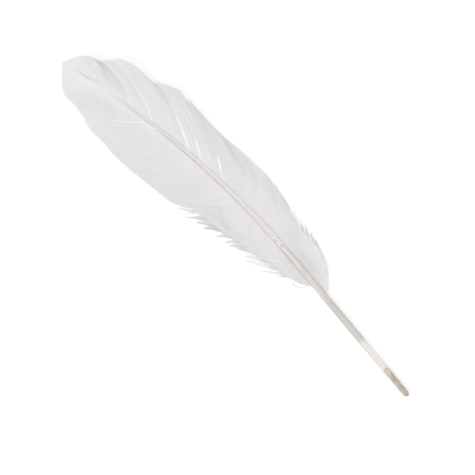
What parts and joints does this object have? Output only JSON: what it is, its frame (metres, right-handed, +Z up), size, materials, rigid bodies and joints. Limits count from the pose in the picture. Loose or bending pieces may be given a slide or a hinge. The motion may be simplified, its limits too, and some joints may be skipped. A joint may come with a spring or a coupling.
{
  "type": "quill pen",
  "caption": "Natural goose feather quill with a clear hollow barrel, dried pulp inside, a tapering grooved shaft and a split, frayed white vane.",
  "frame": {"origin": "centre of the feather's bounding box on the table", "axes": "+X from the quill's tip to the tip of the vane, +Y towards the broad side of the vane, +Z up from the table out of the grooved side of the shaft"},
  "size_m": [0.288, 0.0562, 0.0158],
  "materials": {
    "horn_barrel": "gloss",
    "tip_pulp": "matte",
    "pulp_skin": "satin",
    "umbilicus_amber": "satin",
    "rachis_horn": "satin",
    "rachis_foam": "matte",
    "barbs_narrow": "matte",
    "barbs_wide": "matte"
  },
  "bodies": {
    "shaft": {"calamus_barrel": "horn_barrel", "tip_pulp_plug": "tip_pulp", "pulp_cap_1": "pulp_skin", "pulp_cap_2": "pulp_skin", "pulp_cap_3": "pulp_skin", "pulp_cap_4": "pulp_skin", "pulp_cap_5": "pulp_skin", "pulp_cap_6": "pulp_skin", "pulp_cap_7": "pulp_skin", "pulp_cap_8": "pulp_skin", "umbilicus_plug": "umbilicus_amber", "rachis_cortex": "rachis_horn", "rachis_pith": "rachis_foam"},
    "vane_narrow_01": {"vane_narrow_01": "barbs_narrow"},
    "vane_narrow_02": {"vane_narrow_02": "barbs_narrow"},
    "vane_narrow_03": {"vane_narrow_03": "barbs_narrow"},
    "vane_narrow_04": {"vane_narrow_04": "barbs_narrow"},
    "vane_narrow_05": {"vane_narrow_05": "barbs_narrow"},
    "vane_narrow_06": {"vane_narrow_06": "barbs_narrow"},
    "vane_narrow_07": {"vane_narrow_07": "barbs_narrow"},
    "vane_narrow_08": {"vane_narrow_08": "barbs_narrow"},
    "vane_narrow_09": {"vane_narrow_09": "barbs_narrow"},
    "vane_narrow_10": {"vane_narrow_10": "barbs_narrow"},
    "vane_narrow_11": {"vane_narrow_11": "barbs_narrow"},
    "vane_narrow_12": {"vane_narrow_12": "barbs_narrow"},
    "vane_wide_01": {"vane_wide_01": "barbs_wide"},
    "vane_wide_02": {"vane_wide_02": "barbs_wide"},
    "vane_wide_03": {"vane_wide_03": "barbs_wide"},
    "vane_wide_04": {"vane_wide_04": "barbs_wide"},
    "vane_wide_05": {"vane_wide_05": "barbs_wide"},
    "vane_wide_06": {"vane_wide_06": "barbs_wide"},
    "vane_wide_07": {"vane_wide_07": "barbs_wide"}
  },
  "joints": [
    {"name": "vane_narrow_01_flex", "type": "hinge", "parent": "shaft", "child": "vane_narrow_01", "pos_m": [-0.05106, -0.00116, 0.0018], "axis": [-0.9925, 0.1219, 0], "range_deg": [0, 14], "stiffness_Nm_per_rad": 0.0008},
    {"name": "vane_narrow_02_flex", "type": "hinge", "parent": "shaft", "child": "vane_narrow_02", "pos_m": [-0.02914, -0.00352, 0.00168], "axis": [-0.9956, 0.0933, 0.0108], "range_deg": [0, 14], "stiffness_Nm_per_rad": 0.0008},
    {"name": "vane_narrow_03_flex", "type": "hinge", "parent": "shaft", "child": "vane_narrow_03", "pos_m": [-0.00612, -0.00527, 0.00147], "axis": [-0.9984, 0.0564, 0.0067], "range_deg": [0, 14], "stiffness_Nm_per_rad": 0.0008},
    {"name": "vane_narrow_04_flex", "type": "hinge", "parent": "shaft", "child": "vane_narrow_04", "pos_m": [0.01444, -0.00606, 0.00134], "axis": [-0.9998, 0.0181, 0.0063], "range_deg": [0, 14], "stiffness_Nm_per_rad": 0.0008},
    {"name": "vane_narrow_05_flex", "type": "hinge", "parent": "shaft", "child": "vane_narrow_05", "pos_m": [0.02949, -0.00618, 0.00135], "axis": [-0.9999, -0.0086, -0.0127], "range_deg": [0, 14], "stiffness_Nm_per_rad": 0.0008},
    {"name": "vane_narrow_06_flex", "type": "hinge", "parent": "shaft", "child": "vane_narrow_06", "pos_m": [0.03852, -0.00603, 0.00152], "axis": [-0.9992, -0.0291, -0.0274], "range_deg": [0, 14], "stiffness_Nm_per_rad": 0.0008},
    {"name": "vane_narrow_07_flex", "type": "hinge", "parent": "shaft", "child": "vane_narrow_07", "pos_m": [0.04754, -0.00567, 0.00185], "axis": [-0.9979, -0.0474, -0.0438], "range_deg": [0, 14], "stiffness_Nm_per_rad": 0.0008},
    {"name": "vane_narrow_08_flex", "type": "hinge", "parent": "shaft", "child": "vane_narrow_08", "pos_m": [0.06754, -0.0042, 0.00331], "axis": [-0.993, -0.0834, -0.0837], "range_deg": [0, 14], "stiffness_Nm_per_rad": 0.0008},
    {"name": "vane_narrow_09_flex", "type": "hinge", "parent": "shaft", "child": "vane_narrow_09", "pos_m": [0.08899, -0.00211, 0.00542], "axis": [-0.9845, -0.1224, -0.1255], "range_deg": [-6, 14], "stiffness_Nm_per_rad": 0.0008},
    {"name": "vane_narrow_10_flex", "type": "hinge", "parent": "shaft", "child": "vane_narrow_10", "pos_m": [0.10091, -0.00051, 0.00706], "axis": [-0.9784, -0.1444, -0.1481], "range_deg": [-6, 14], "stiffness_Nm_per_rad": 0.0008},
    {"name": "vane_narrow_11_flex", "type": "hinge", "parent": "shaft", "child": "vane_narrow_11", "pos_m": [0.10982, 0.00088, 0.00849], "axis": [-0.9731, -0.1607, -0.165], "range_deg": [-6, 14], "stiffness_Nm_per_rad": 0.0008},
    {"name": "vane_narrow_12_flex", "type": "hinge", "parent": "shaft", "child": "vane_narrow_12", "pos_m": [0.12017, 0.00274, 0.01035], "axis": [-0.9661, -0.184, -0.181], "range_deg": [-6, 14], "stiffness_Nm_per_rad": 0.0008},
    {"name": "vane_wide_01_flex", "type": "hinge", "parent": "shaft", "child": "vane_wide_01", "pos_m": [-0.04943, 0.00388, 0.0018], "axis": [0.9925, -0.1219, 0], "range_deg": [0, 14], "stiffness_Nm_per_rad": 0.0008},
    {"name": "vane_wide_02_flex", "type": "hinge", "parent": "shaft", "child": "vane_wide_02", "pos_m": [-0.02764, 0.00125, 0.00167], "axis": [0.993, -0.1177, -0.0104], "range_deg": [0, 14], "stiffness_Nm_per_rad": 0.0008},
    {"name": "vane_wide_03_flex", "type": "hinge", "parent": "shaft", "child": "vane_wide_03", "pos_m": [0.00013, -0.00121, 0.00143], "axis": [0.998, -0.0628, -0.0073], "range_deg": [0, 14], "stiffness_Nm_per_rad": 0.0008},
    {"name": "vane_wide_04_flex", "type": "hinge", "parent": "shaft", "child": "vane_wide_04", "pos_m": [0.02999, -0.00225, 0.00151], "axis": [0.9999, -0.007, 0.0135], "range_deg": [0, 14], "stiffness_Nm_per_rad": 0.0008},
    {"name": "vane_wide_05_flex", "type": "hinge", "parent": "shaft", "child": "vane_wide_05", "pos_m": [0.05988, -0.00169, 0.00275], "axis": [0.9966, 0.0446, 0.0692], "range_deg": [0, 14], "stiffness_Nm_per_rad": 0.0008},
    {"name": "vane_wide_06_flex", "type": "hinge", "parent": "shaft", "child": "vane_wide_06", "pos_m": [0.08773, 0.00023, 0.00541], "axis": [0.9876, 0.0958, 0.1241], "range_deg": [-6, 14], "stiffness_Nm_per_rad": 0.0008},
    {"name": "vane_wide_07_flex", "type": "hinge", "parent": "shaft", "child": "vane_wide_07", "pos_m": [0.11349, 0.00332, 0.00929], "axis": [0.9754, 0.1389, 0.1713], "range_deg": [-6, 14], "stiffness_Nm_per_rad": 0.0008}
  ]
}
